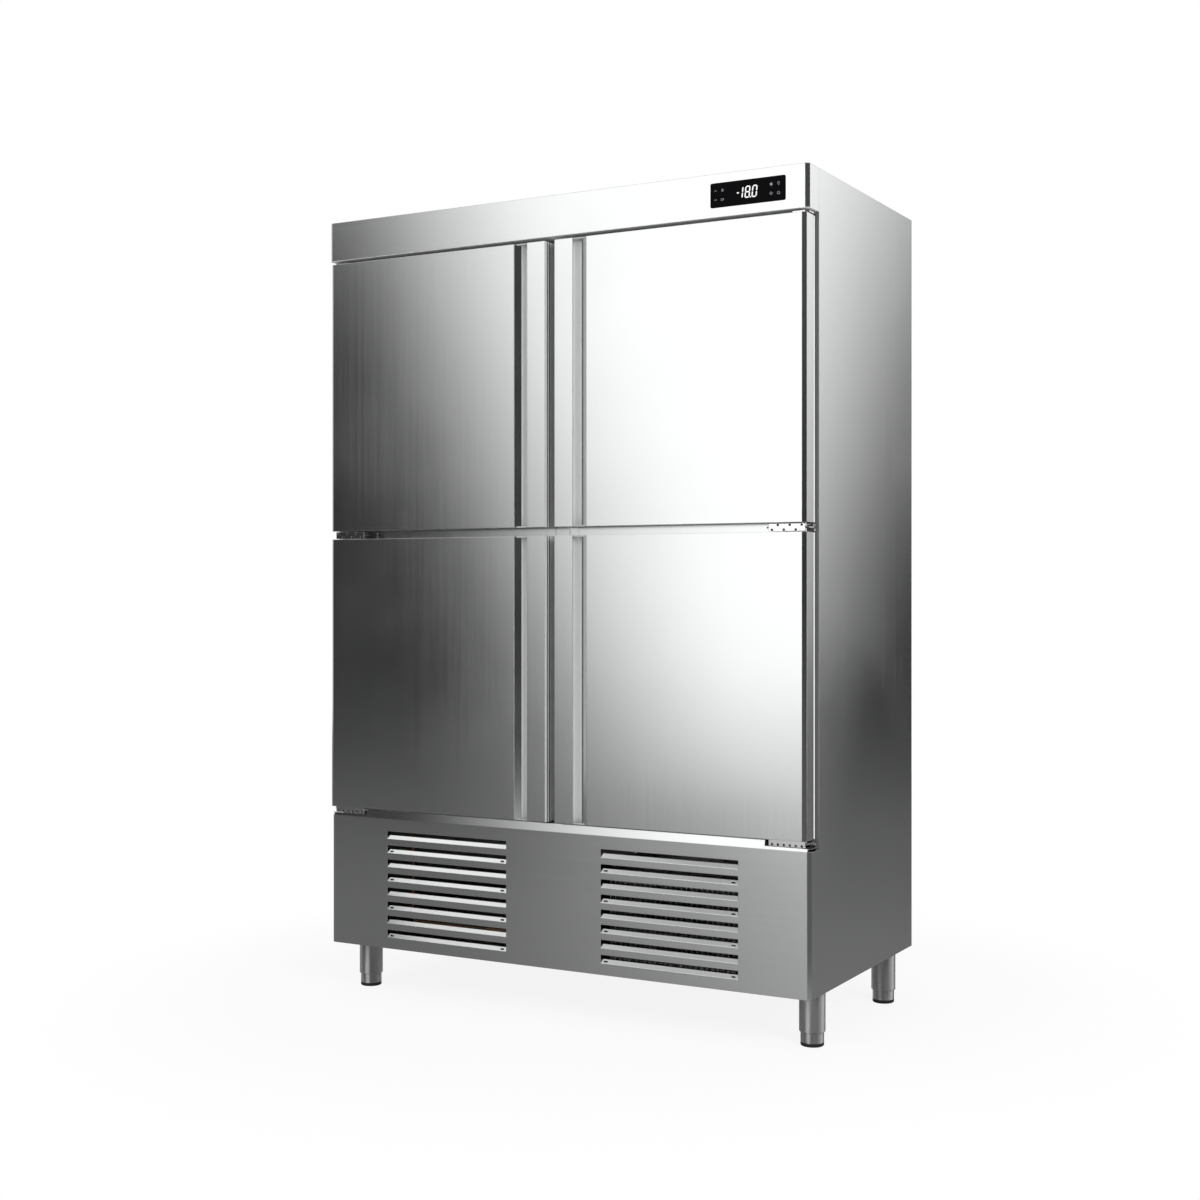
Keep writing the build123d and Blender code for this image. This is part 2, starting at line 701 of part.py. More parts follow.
def doors():
    """Four half doors: outer skin, handle, end caps, inner liner, foam core and gasket."""
    skin_face, handle_face, core_face, cap_face = door_sections()
    rear = y_door_back - door_liner_depth
    inset = door_liner_inset
    t = door_liner_sheet
    gasket_x = (x_free + gasket_free_inset, x_hinge - gasket_hinge_inset)
    plateau_x = (gasket_x[0] + gasket_width + door_plateau_margin,
                 gasket_x[1] - gasket_width - door_plateau_margin)
    plateau_z = gasket_edge_inset + gasket_width + door_plateau_margin
    side_trim = (gasket_width - gasket_base_width) / 2

    for row, z0 in door_rows.items():
        z1 = z0 + door_height

        def raised(face, low, high):
            return Pos(0, 0, low) * extrude(face, high - low)

        def inner(margin, y0, y1):
            return block(x_free + inset + margin, x_hinge - inset - margin, y0, y1,
                         z0 + inset + margin, z1 - inset - margin)

        def plateau(margin, y0, y1):
            return block(plateau_x[0] + margin, plateau_x[1] - margin, y0, y1,
                         z0 + plateau_z + margin, z1 - plateau_z - margin)

        def ring(trim, y0, y1):
            low = z0 + gasket_edge_inset + trim
            high = z1 - gasket_edge_inset - trim
            width = gasket_width - 2 * trim
            xa, xb = gasket_x[0] + trim, gasket_x[1] - trim
            return block(xa, xb, y0, y1, low, high) - block(xa + width, xb - width, y0, y1,
                                                            low + width, high - width)

        skin = raised(skin_face, z0, z1)
        handle = raised(handle_face, z0, z1)
        bore = pin_radius + pin_running_clearance
        depth = pin_engagement + pin_tip_clearance
        low_cap = raised(core_face, z0, z0 + door_cap_height) + raised(cap_face, z0, z0 + door_cap_plug)
        low_cap -= rod_z(bore, z0, z0 + depth, x_pivot, y_pivot)
        high_cap = raised(core_face, z1 - door_cap_height, z1) + raised(cap_face, z1 - door_cap_plug, z1)
        high_cap -= rod_z(bore, z1 - depth, z1, x_pivot, y_pivot)

        y_plateau = y_door_back + door_plateau_depth
        liner = inner(0, rear, y_door_back) - inner(t, rear, y_door_back - t)
        liner += plateau(0, y_door_back - t, y_plateau)
        liner -= plateau(t, y_door_back - t, y_plateau - t)
        core = raised(core_face, z0 + door_cap_height, z1 - door_cap_height)
        core += inner(t, rear, y_door_back - t) + plateau(t, y_door_back - t, y_plateau - t)

        y_mid = y_door_back + gasket_thickness / 2
        gasket = ring(side_trim, y_door_back, y_mid) + ring(0, y_mid, y_frame - gasket_clearance)

        pieces = {"skin": [skin], "handle": [handle], "caps": [low_cap, high_cap],
                  "liner": [liner], "core": [core], "gasket": [gasket]}
        for piece, shapes in pieces.items():
            save(f"door_{row}_right_{piece}", *shapes)
            save(f"door_{row}_left_{piece}", *[mirror(s, about=Plane.YZ) for s in shapes])


def shelving():
    """Slotted uprights, shelf supports and wire shelves of both columns."""
    y_posts = (y_inner_front + upright_front_inset, y_inner_back - upright_rear_inset)
    x_centre_face = centre_post_gap / 2 + upright_thickness
    x_wall_face = x_inner - upright_thickness
    z_end = z_floor + upright_height

    def post(x0, x1, x_slot0, x_slot1, y):
        bar = block(x0, x1, y - upright_width / 2, y + upright_width / 2, z_floor, z_end)
        count = int((upright_height - upright_slot_pitch) // upright_slot_pitch)
        half_width_slot = upright_slot_width / 2
        slots = []
        for i in range(count):
            z = z_floor + upright_slot_pitch * (i + 1)
            slots.append(block(x_slot0, x_slot1, y - half_width_slot, y + half_width_slot,
                               z - upright_slot_height / 2, z + upright_slot_height / 2))
        return bar - slots

    posts = []
    for y in y_posts:
        posts += both_sides(post(x_wall_face, x_inner, x_wall_face, x_wall_face + upright_slot_depth, y))
        posts += both_sides(post(centre_post_gap / 2, x_centre_face,
                                 x_centre_face - upright_slot_depth, x_centre_face, y))
    save("shelf_uprights", *posts)

    y0 = y_posts[0] - support_overhang
    y1 = y_posts[1] + support_overhang
    s = support_sheet
    x0 = x_centre_face + s + shelf_clearance
    x1 = x_wall_face - s - shelf_clearance
    supports = []
    shelves = []
    for level in range(shelf_count):
        z = z_floor + shelf_first + level * shelf_pitch
        inner_rail = block(x_centre_face, x_centre_face + support_leg, y0, y1, z - s, z)
        inner_rail += block(x_centre_face, x_centre_face + s, y0, y1, z, z + support_leg)
        outer_rail = block(x_wall_face - support_leg, x_wall_face, y0, y1, z - s, z)
        outer_rail += block(x_wall_face - s, x_wall_face, y0, y1, z, z + support_leg)
        supports += both_sides(inner_rail) + both_sides(outer_rail)

        f = shelf_frame
        shelf = block(x0, x1, y0, y1, z, z + f) - block(x0 + f, x1 - f, y0 + f, y1 - f, z, z + f)
        shelf += block(x0, x1, -f / 2, f / 2, z, z + f)
        wires = int((x1 - x0 - f) // shelf_wire_pitch)
        step = (x1 - x0 - f) / (wires + 1)
        for i in range(wires):
            x = x0 + f / 2 + step * (i + 1)
            shelf += rod_y(shelf_wire_radius, y0 + f / 2, y1 - f / 2, x, z + f - shelf_wire_radius)
        shelves += both_sides(shelf)
    save("shelf_supports", *supports)
    save("wire_shelves", *shelves)


def finned_coil(x0, x1, y0, y1, z0, z1, fins):
    """Heat exchanger: end plates, thin fins and round tubes through them along X."""
    plates = [block(x0, x0 + coil_end_plate, y0, y1, z0, z1), block(x1 - coil_end_plate, x1, y0, y1, z0, z1)]
    step = (x1 - x0) / (fins + 1)
    for i in range(fins):
        x = x0 + step * (i + 1)
        plates.append(block(x - coil_fin / 2, x + coil_fin / 2, y0, y1, z0, z1))
    tubes = []
    for row in range(coil_rows):
        z = z0 + (z1 - z0) * (row + 0.5) / coil_rows
        for y in ((3 * y0 + y1) / 4, (y0 + 3 * y1) / 4):
            tubes.append(rod_x(coil_tube_radius, x1 - x0, (x0 + x1) / 2, y, z))
    return tubes[0] + tubes[1:] + plates


def fan_rotor(x, y_plate, z):
    """Axial fan with its shaft, turning behind a plate whose rear face is given."""
    y0 = y_plate + fan_plate_gap
    y1 = y0 + fan_hub_length
    rotor = rod_y(fan_hub_radius, y0, y1, x, z)
    rotor += rod_y(shaft_radius, y1, y1 + motor_gap + motor_bore_depth - shaft_tip_clearance, x, z)
    reach = fan_blade_radius - fan_hub_radius / 2
    blades = []
    for i in range(fan_blade_count):
        blade = Box(fan_blade_width, fan_blade_thickness, reach)
        blade = Pos(0, 0, fan_hub_radius / 2 + reach / 2) * Rot(0, 0, fan_blade_pitch) * blade
        blades.append(Pos(x, (y0 + y1) / 2, z) * Rot(0, 360 * i / fan_blade_count, 0) * blade)
    return rotor + blades


def fan_motor(x, y_plate, z):
    """Fan motor on a strap that bridges the fan hole from the rear of its plate."""
    y0 = y_plate + fan_plate_gap + fan_hub_length + motor_gap
    y1 = y0 + motor_length
    reach = fan_hole_radius + strap_overhang
    motor = rod_y(motor_radius, y0, y1, x, z)
    motor += block(x - reach, x + reach, y1, y1 + strap_sheet, z - strap_width / 2, z + strap_width / 2)
    for side in (-1, 1):
        xa = x + side * reach
        xb = x + side * (reach - strap_leg)
        motor += block(min(xa, xb), max(xa, xb), y_plate, y1, z - strap_width / 2, z + strap_width / 2)
    return motor - rod_y(shaft_radius + shaft_clearance, y0, y0 + motor_bore_depth, x, z)


def fan_guard(x, y_plate, z):
    """Ring guard on the front of a plate, over its fan hole."""
    y0 = y_plate - guard_bar
    spoke = guard_bar / 2
    outer = fan_hole_radius + guard_rim
    guard = rod_y(outer, y0, y_plate, x, z) - rod_y(fan_hole_radius, y0, y_plate, x, z)
    for i in range(1, guard_ring_count):
        radius = fan_hole_radius * i / guard_ring_count
        ring = rod_y(radius + spoke, y0, y_plate, x, z)
        guard += ring - rod_y(radius - spoke, y0, y_plate, x, z)
    inner = fan_hole_radius / guard_ring_count
    for side in (-1, 1):
        xs = sorted((x + side * inner, x + side * outer))
        zs = sorted((z + side * inner, z + side * outer))
        guard += block(xs[0], xs[1], y0, y_plate, z - spoke, z + spoke)
        guard += block(x - spoke, x + spoke, y0, y_plate, zs[0], zs[1])
    return guard


def evaporator():
    """Evaporator under the ceiling: coil, cover with a drip slope, two fans and their motors."""
    s = outer_sheet
    yc = y_inner_front + evaporator_cover_inset
    profile = [(yc, z_ceiling), (yc, z_cover_front), (y_inner_back, z_cover_rear), (y_inner_back, z_ceiling)]
    hollow = [(yc + s, z_ceiling), (yc + s, z_cover_front + s), (y_inner_back, z_cover_rear + s),
              (y_inner_back, z_ceiling)]
    half = evaporator_half_width
    cover = side_prism(profile, -half, half) - side_prism(hollow, -half + s, half - s)
    z_fan = z_ceiling - evaporator_fan_drop
    fan_x = evaporator_fan_spacing / 2
    for x in (-fan_x, fan_x):
        cover -= rod_y(fan_hole_radius, yc, yc + s, x, z_fan)
    save("evaporator_cover", cover)
    save("fan_guards", fan_guard(-fan_x, yc, z_fan), fan_guard(fan_x, yc, z_fan))
    save("evaporator_fan_left", fan_rotor(-fan_x, yc + s, z_fan))
    save("evaporator_fan_right", fan_rotor(fan_x, yc + s, z_fan))

    y1 = y_inner_back - evaporator_coil_rear_gap
    coil = finned_coil(-evaporator_coil_half, evaporator_coil_half, y1 - evaporator_coil_depth, y1,
                       z_coil_bottom, z_coil_top, evaporator_fin_count)
    hanger_y = (y1 - evaporator_coil_depth, y1)
    for x0, x1 in ((-evaporator_coil_half, -evaporator_coil_half + coil_end_plate),
                   (evaporator_coil_half - coil_end_plate, evaporator_coil_half)):
        coil += block(x0, x1, *hanger_y, z_coil_top, z_ceiling)
    save("evaporator_coil", coil)
    return [fan_motor(-fan_x, yc + s, z_fan), fan_motor(fan_x, yc + s, z_fan)]


def swept_pipe(points, radius, bend, wall=None):
    """Round pipe along straight runs joined by bends."""
    path = FilletPolyline(*points, radius=bend)
    start = Plane(path @ 0, z_dir=path % 0)
    section = start * Circle(radius)
    if wall is not None:
        section -= start * Circle(radius - wall)
    return sweep(section, path=path)


def machine_unit(evaporator_motors):
    """Compressor, condenser, fan, pipes and the tray that takes the drain water."""
    x0 = condenser_left
    x1 = condenser_left + condenser_width
    y0 = y_grille + outer_sheet + condenser_front_gap
    y1 = y0 + condenser_depth
    z0 = z_base_top
    z1 = z0 + condenser_height
    save("condenser_coil", finned_coil(x0, x1, y0, y1, z0, z1, condenser_fin_count))

    s = shroud_sheet
    y_plate = y1 + shroud_depth
    shroud = block(x0, x1, y1, y_plate, z0, z1) - block(x0 + s, x1 - s, y1, y_plate - s, z0 + s, z1 - s)
    fan_x = (x0 + x1) / 2
    fan_z = (z0 + z1) / 2
    shroud -= rod_y(fan_hole_radius, y_plate - s, y_plate, fan_x, fan_z)
    save("fan_shroud", shroud)
    save("condenser_fan", fan_rotor(fan_x, y_plate, fan_z))
    save("fan_motors", *evaporator_motors, fan_motor(fan_x, y_plate, fan_z))

    cx = compressor_x
    cy = y_back - compressor_rear_inset
    z_plate = z0 + compressor_foot_height
    z_shell = z_plate + compressor_plate
    shell = rod_z(compressor_radius, z_shell, z_shell + compressor_height, cx, cy)
    shell = fillet(shell.edges().group_by(Axis.Z)[-1], compressor_dome)
    half_l = compressor_plate_length / 2
    half_w = compressor_plate_width / 2
    compressor = shell + block(cx - half_l, cx + half_l, cy - half_w, cy + half_w, z_plate, z_shell)
    r = compressor_foot_radius
    for sx in (-1, 1):
        for sy in (-1, 1):
            compressor += rod_z(r, z0, z_plate, cx + sx * (half_l - r), cy + sy * (half_w - r))
    z_stub = z_shell + compressor_height / 2
    compressor += rod_x(stub_radius, 2 * (compressor_radius + stub_length), cx, cy, z_stub)
    y_box = cy - compressor_radius
    compressor += block(cx - terminal_box_width / 2, cx + terminal_box_width / 2,
                        y_box - terminal_box_depth / 2, y_box + terminal_box_depth / 2,
                        z_stub - terminal_box_height / 2, z_stub + terminal_box_height / 2)
    save("compressor", compressor)

    x_stub = compressor_radius + stub_length
    x_inlet = cx - x_stub - pipe_turn
    z_loop = z_machine_top - pipe_loop_drop
    y_coil = y_inner_back - evaporator_coil_rear_gap - evaporator_coil_depth / 2
    x_coil = -evaporator_coil_half
    suction = [(x_coil, y_coil, z_suction), (x_suction, y_coil, z_suction), (x_suction, y_duct, z_suction),
               (x_suction, y_duct, z_loop), (x_suction, cy, z_loop), (x_inlet, cy, z_loop),
               (x_inlet, cy, z_stub), (cx - x_stub, cy, z_stub)]
    y_front = (y0 + y1) / 2
    z_outlet = z0 + condenser_height / 4
    x_turn = x0 - pipe_turn
    liquid = [(x0, y_front, z_outlet), (x_liquid, y_front, z_outlet), (x_liquid, y_front, z_loop),
              (x_liquid, y_duct, z_loop), (x_liquid, y_duct, z_liquid), (x_liquid, y_coil, z_liquid),
              (x_coil, y_coil, z_liquid)]
    discharge = [(cx + x_stub, cy, z_stub), (x_turn, cy, z_stub), (x_turn, y_front, z_stub),
                 (x0, y_front, z_stub)]
    drier_x = (x_liquid + x_turn) / 2
    drier = rod_x(drier_radius, drier_length, drier_x, y_front, z_outlet)
    save("refrigerant_pipes", swept_pipe(suction, pipe_radius, pipe_bend),
         swept_pipe(liquid, pipe_radius, pipe_bend) + drier, swept_pipe(discharge, pipe_radius, pipe_bend))

    tray_y1 = y_back - outer_sheet - tray_rear_gap
    tray_y0 = tray_y1 - tray_width
    tx0 = duct_x - tray_length / 2
    tx1 = duct_x + tray_length / 2
    tray = block(tx0, tx1, tray_y0, tray_y1, z0, z0 + tray_height)
    tray -= block(tx0 + tray_sheet, tx1 - tray_sheet, tray_y0 + tray_sheet, tray_y1 - tray_sheet,
                  z0 + tray_sheet, z0 + tray_height)
    save("evaporation_tray", tray)
    y_inside = y_inner_back - drain_bend
    drain = [(duct_x, y_inside, z_drain), (duct_x, y_duct, z_drain),
             (duct_x, y_duct, z0 + tray_height + drain_tray_gap)]
    save("drain_pipe", swept_pipe(drain, drain_radius, drain_bend, drain_wall))


os.makedirs("parts", exist_ok=True)
outer_panels()
insulated_box()
front_frame()
header()
grille_panel()
hinges()
legs()
doors()
shelving()
machine_unit(evaporator())
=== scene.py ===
import json
import math

import bmesh
import bpy
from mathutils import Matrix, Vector


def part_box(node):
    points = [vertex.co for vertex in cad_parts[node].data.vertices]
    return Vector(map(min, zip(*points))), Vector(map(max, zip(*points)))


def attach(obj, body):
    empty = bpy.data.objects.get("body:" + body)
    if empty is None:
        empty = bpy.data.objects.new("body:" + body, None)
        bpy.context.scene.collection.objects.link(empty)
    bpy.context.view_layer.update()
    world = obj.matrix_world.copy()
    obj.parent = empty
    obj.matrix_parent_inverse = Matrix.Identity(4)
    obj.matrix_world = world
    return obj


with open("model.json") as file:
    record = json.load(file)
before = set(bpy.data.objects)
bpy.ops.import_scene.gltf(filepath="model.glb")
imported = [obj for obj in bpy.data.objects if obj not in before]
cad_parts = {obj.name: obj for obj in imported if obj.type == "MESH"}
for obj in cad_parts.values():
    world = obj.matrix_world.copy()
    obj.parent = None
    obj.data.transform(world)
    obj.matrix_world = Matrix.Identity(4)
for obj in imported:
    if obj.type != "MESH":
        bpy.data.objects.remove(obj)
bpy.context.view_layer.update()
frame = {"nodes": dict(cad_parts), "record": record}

# Camera, fitted to the photograph's perspective; metres, degrees and pixels of a 1200 pixel image
IMAGE_PIXELS = 1200.0
CAMERA_PLACE = (2.2037, -4.0625, 1.0882)
CAMERA_TURN = 29.103
CAMERA_FOCAL_PIXELS = 1720.5
HORIZON_ROW = 588.7
SENSOR_MM = 36.0

# Places on the object, from the frame
FRONT_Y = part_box("door_upper_left_skin")[0].y
SIDE_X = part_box("side_panels")[1].x
DISPLAY_LOW, DISPLAY_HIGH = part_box("display_panel")

# Studio cards, in metres: where each stands and how far it reaches
WALL_Y = -5.0
LEFT_WALL_X = -5.0
RIGHT_WALL_X = 5.0
REAR_CARD_Y = 2.2
FRONT_CARD_REACH = (-9.0, 9.0)
FRONT_CARD_RISE = (-1.0, 7.0)
SIDE_CARD_REACH = (-7.0, 1.0)
REAR_CARD_REACH = (1.0, 6.0)
CARD_RISE = (-1.0, 5.0)
FLOOR_CARD_Z = 0.001
FLOOR_CARD_END = 6.0
FLOOR_SEAM_X = SIDE_X - 0.05
FLOOR_SEAM_Y = FRONT_Y + 0.02

# Floor, light from all round, and lamps: place in metres, size in metres and power in watts
FLOOR_SIZE = 30.0
WORLD_LIGHT = 0.35
LAMP_AIM = Vector((0, 0, 1.0))
LAMPS = {"key": ((-1.2, -4.6, 3.2), 2.0, 80.0),
         "fill": ((4.1, -2.8, 2.6), 2.0, 180.0),
         "top": ((0.0, 0.4, 4.6), 2.6, 40.0)}


def clear_nodes(tree):
    """Empty a node tree that Blender has filled."""
    for node in list(tree.nodes):
        tree.nodes.remove(node)


def add(tree, kind, inputs=None, **settings):
    """One shader node, with its settings and its inputs: plain values, or other nodes' outputs."""
    node = tree.nodes.new("ShaderNode" + kind)
    for key, value in settings.items():
        setattr(node, key, value)
    for key, value in (inputs or {}).items():
        if isinstance(value, bpy.types.NodeSocket):
            tree.links.new(value, node.inputs[key])
        else:
            node.inputs[key].default_value = value
    return node


def math_node(tree, operation, *values):
    """Result of a sum, product or other operation on numbers or outputs."""
    return add(tree, "Math", dict(enumerate(values)), operation=operation).outputs[0]


def remap(tree, value, low, high, to_low, to_high, smooth=True):
    """A value moved from one range to another, with soft or straight ends."""
    kind = "SMOOTHSTEP" if smooth else "LINEAR"
    inputs = {"Value": value, "From Min": low, "From Max": high, "To Min": to_low, "To Max": to_high}
    return add(tree, "MapRange", inputs, interpolation_type=kind).outputs["Result"]


def noise(tree, coords, scale, stretch=(1, 1, 1), detail=2.0):
    """Noise stretched along an axis: a small stretch value draws it out."""
    mapped = add(tree, "Mapping", {"Vector": coords, "Scale": stretch}).outputs["Vector"]
    return add(tree, "TexNoise", {"Vector": mapped, "Scale": scale, "Detail": detail}).outputs[0]


def new_material(name):
    """An empty material and its node tree."""
    material = bpy.data.materials.new(name)
    material.use_nodes = True
    clear_nodes(material.node_tree)
    return material, material.node_tree


def own_coords(tree):
    """The object's own coordinates, in metres."""
    return add(tree, "TexCoord").outputs["Object"]


def plain(name, finish, *values, **settings):
    """A material with one finish all over."""
    material, tree = new_material(name)
    shader = finish(tree, own_coords(tree), *values, **settings)
    add(tree, "OutputMaterial", {"Surface": shader.outputs[0]})
    return material


def split(name, axis, limit, below, above, both_sides=False):
    """A material with one finish below a limit of an axis, or nearer than it, and another beyond it."""
    material, tree = new_material(name)
    coords = own_coords(tree)
    shaders = [finish(tree, coords, *values) for finish, *values in (below, above)]
    place = add(tree, "SeparateXYZ", {"Vector": coords}).outputs[axis]
    if both_sides:
        place = math_node(tree, "ABSOLUTE", place)
    share = math_node(tree, "GREATER_THAN", place, limit)
    mix = add(tree, "MixShader", {0: share, 1: shaders[0].outputs[0], 2: shaders[1].outputs[0]})
    add(tree, "OutputMaterial", {"Surface": mix.outputs[0]})
    return material


def tint(tree, factor, dark, light):
    """A colour between two others."""
    mix = add(tree, "Mix", data_type="RGBA")
    tree.links.new(factor, mix.inputs["Factor"])
    colours = [socket for socket in mix.inputs if socket.type == "RGBA"]
    colours[0].default_value = (*dark, 1)
    colours[1].default_value = (*light, 1)
    return [socket for socket in mix.outputs if socket.type == "RGBA"][0]


def shaded(colour, amount):
    """A colour made darker or lighter."""
    return tuple(min(1.0, c * amount) for c in colour)


# Textures: grain direction, features per metre, and depth and rounding in metres
GRAIN_UP = (1.0, 1.0, 0.008)
GRAIN_ACROSS = (0.008, 1.0, 1.0)
STREAK_SCALE = 900.0
BAND_SCALE = 90.0
HAZE_SCALE = 2.6
CRYSTAL_SCALE = 110.0
DOT_SCALE = 2500.0
GRIT_SCALE = 40.0
BUMP_DEPTH = 0.0002
EDGE_ROUND = 0.002


def steel(tree, coords, colour, roughness, grain, contrast=0.04, rounded=True, metal=1.0):
    """Brushed stainless sheet: fine streaks along the grain, faint broad bands and cleaning haze."""
    shader = add(tree, "BsdfPrincipled", {"Metallic": metal})
    fine = noise(tree, coords, STREAK_SCALE, grain, 3.0)
    bands = noise(tree, coords, BAND_SCALE, grain, 2.0)
    haze = noise(tree, coords, HAZE_SCALE, detail=4.0)
    streaks = math_node(tree, "MULTIPLY_ADD", fine, 0.6, math_node(tree, "MULTIPLY", bands, 0.4))
    dark, light = shaded(colour, 1 - contrast), shaded(colour, 1 + contrast)
    tree.links.new(tint(tree, streaks, dark, light), shader.inputs["Base Color"])
    rough = remap(tree, streaks, 0.2, 0.8, roughness * 0.85, roughness * 1.15, smooth=False)
    rough = math_node(tree, "ADD", rough, remap(tree, haze, 0.35, 0.75, -0.012, 0.025))
    tree.links.new(rough, shader.inputs["Roughness"])
    bump = add(tree, "Bump", {"Strength": 0.05, "Distance": BUMP_DEPTH, "Height": streaks})
    if rounded:
        edge = add(tree, "Bevel", {"Radius": EDGE_ROUND}, samples=4)
        tree.links.new(edge.outputs["Normal"], bump.inputs["Normal"])
    tree.links.new(bump.outputs["Normal"], shader.inputs["Normal"])
    return shader


def coated(tree, coords, colour, roughness, scale=700.0, bump_strength=0.15, shine=0.5):
    """Paint, plastic or rubber: a fine moulded or sprayed texture, with slight changes of tone."""
    shader = add(tree, "BsdfPrincipled", {"Specular IOR Level": shine})
    fine = noise(tree, coords, scale)
    broad = noise(tree, coords, scale / 60, detail=3.0)
    tone = math_node(tree, "MULTIPLY_ADD", fine, 0.5, math_node(tree, "MULTIPLY", broad, 0.5))
    dark, light = shaded(colour, 0.85), shaded(colour, 1.12)
    tree.links.new(tint(tree, tone, dark, light), shader.inputs["Base Color"])
    rough = remap(tree, tone, 0.25, 0.75, roughness - 0.06, roughness + 0.06, smooth=False)
    tree.links.new(rough, shader.inputs["Roughness"])
    bump = add(tree, "Bump", {"Strength": bump_strength, "Distance": BUMP_DEPTH, "Height": fine})
    tree.links.new(bump.outputs["Normal"], shader.inputs["Normal"])
    return shader


def galvanised(tree, coords, colour):
    """Zinc-coated sheet with its crystal pattern."""
    shader = add(tree, "BsdfPrincipled", {"Metallic": 1.0})
    cells = add(tree, "TexVoronoi", {"Vector": coords, "Scale": CRYSTAL_SCALE}).outputs["Color"]
    flake = add(tree, "SeparateColor", {"Color": cells}).outputs["Red"]
    dark, light = shaded(colour, 0.93), shaded(colour, 1.05)
    tree.links.new(tint(tree, flake, dark, light), shader.inputs["Base Color"])
    tree.links.new(remap(tree, flake, 0.0, 1.0, 0.36, 0.44), shader.inputs["Roughness"])
    return shader


def cross(tree, first, second):
    """Direction at right angles to two others."""
    return add(tree, "VectorMath", {0: first, 1: second}, operation="CROSS_PRODUCT").outputs["Vector"]


def turned(tree, coords, colour, roughness):
    """Turned tube: fine rings round it draw the reflections out along its length."""
    shader = add(tree, "BsdfPrincipled", {"Metallic": 1.0, "Anisotropic": 0.92})
    rings = noise(tree, coords, STREAK_SCALE, (0.05, 0.05, 1.0), 3.0)
    dark, light = shaded(colour, 0.94), shaded(colour, 1.06)
    tree.links.new(tint(tree, rings, dark, light), shader.inputs["Base Color"])
    rough = remap(tree, rings, 0.2, 0.8, roughness * 0.9, roughness * 1.1, smooth=False)
    tree.links.new(rough, shader.inputs["Roughness"])
    normal = add(tree, "NewGeometry").outputs["Normal"]
    along = cross(tree, cross(tree, normal, (0, 0, 1)), normal)
    tree.links.new(along, shader.inputs["Tangent"])
    return shader


def glowing(tree, coords, colour, strength):
    """Lit segments and symbols behind the display glass."""
    shader = add(tree, "BsdfPrincipled", {"Emission Strength": strength, "Roughness": 0.3,
                                          "Base Color": (*shaded(colour, 0.05), 1)})
    dots = noise(tree, coords, DOT_SCALE, detail=1.0)
    tree.links.new(tint(tree, dots, shaded(colour, 0.9), colour), shader.inputs["Emission Color"])
    return shader


# Finishes: the function that makes each, with its colour, its roughness and the rest of its values
STEEL = (0.614, 0.622, 0.62)
OUTER_ROUGHNESS = 0.16
PAD_TOP = 0.009
outer_up = (steel, STEEL, OUTER_ROUGHNESS, GRAIN_UP)
level = (steel, STEEL, OUTER_ROUGHNESS, GRAIN_ACROSS)
inner_up = (steel, (0.6, 0.61, 0.61), 0.32, GRAIN_UP, 0.04, False)
rubber = (coated, (0.012, 0.012, 0.013), 0.6)
tube = (turned, (0.6, 0.6, 0.595), 0.42)
# Pale diffuse finish, used only as painted light on the underside of the header
satin = (coated, (0.88, 0.885, 0.885), 0.38)
free_edge = (coated, (0.58, 0.585, 0.585), 0.42)
# Near black: painted shade at the bottoms of the grooves in the handle's free edge
shadow_grey = (coated, (0.06, 0.061, 0.062), 0.5)
# Dark grey: the gasket's own colour, and painted shade on the sides of the front frame
gasket_grey_and_jamb_shade = (coated, (0.12, 0.122, 0.124), 0.5)
white_plastic = (coated, (0.82, 0.82, 0.82), 0.42)
trough = (steel, (0.86, 0.865, 0.865), 0.45, GRAIN_UP, 0.04, False, 0.45)
MATERIALS = {
    "stainless": plain("stainless", *outer_up),
    "inner_steel": plain("inner_steel", *inner_up),
    "bright_steel": plain("bright_steel", steel, (0.68, 0.68, 0.68), 0.14, GRAIN_ACROSS),
    "leg_steel": split("leg_steel", "Z", PAD_TOP, rubber, tube),
    "galvanised": plain("galvanised", galvanised, (0.5, 0.51, 0.52)),
    "foam": plain("foam", coated, (0.82, 0.72, 0.45), 0.8, scale=300.0),
    "gasket": plain("gasket", *gasket_grey_and_jamb_shade),
    "display_glass": plain("display_glass", coated, (0.003, 0.003, 0.0035), 0.12,
                           bump_strength=0.0, shine=0.01),
    "black_plastic": plain("black_plastic", coated, (0.02, 0.02, 0.021), 0.5),
    "grey_plastic": plain("grey_plastic", coated, (0.35, 0.355, 0.36), 0.42),
    "shelf_coating": plain("shelf_coating", coated, (0.62, 0.63, 0.64), 0.35),
    "fins": plain("fins", steel, (0.7, 0.71, 0.72), 0.3, GRAIN_UP, rounded=False),
    "copper": plain("copper", steel, (0.34, 0.2, 0.13), 0.42, GRAIN_ACROSS, rounded=False),
    "black_paint": plain("black_paint", coated, (0.012, 0.012, 0.013), 0.35),
}

# Nodes whose finish differs from their slot's, and where it changes, in metres: level grain on the wide
# panels, the pale underside of the header as painted light, painted shade in dark grey on the sides of the
# front frame, the white rim of the door liners, and the parts of the handles with painted shade in their
# grooves
LEVEL_NODES = ("grille_panel", "top_panel")
FACE_MARGIN = 0.0005
HEADER_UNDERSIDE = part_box("header_panel")[0].z + FACE_MARGIN
RIM_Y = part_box("door_upper_left_gasket")[0].y + FACE_MARGIN
JAMB_X = 0.655
HANDLE_INSIDE_Y = FRONT_Y + 0.0086
GRIP_BACK_Y = FRONT_Y + 0.0003
GRIP_X = 0.0655
FREE_EDGE_X = 0.03
GROOVE_X = 0.0155


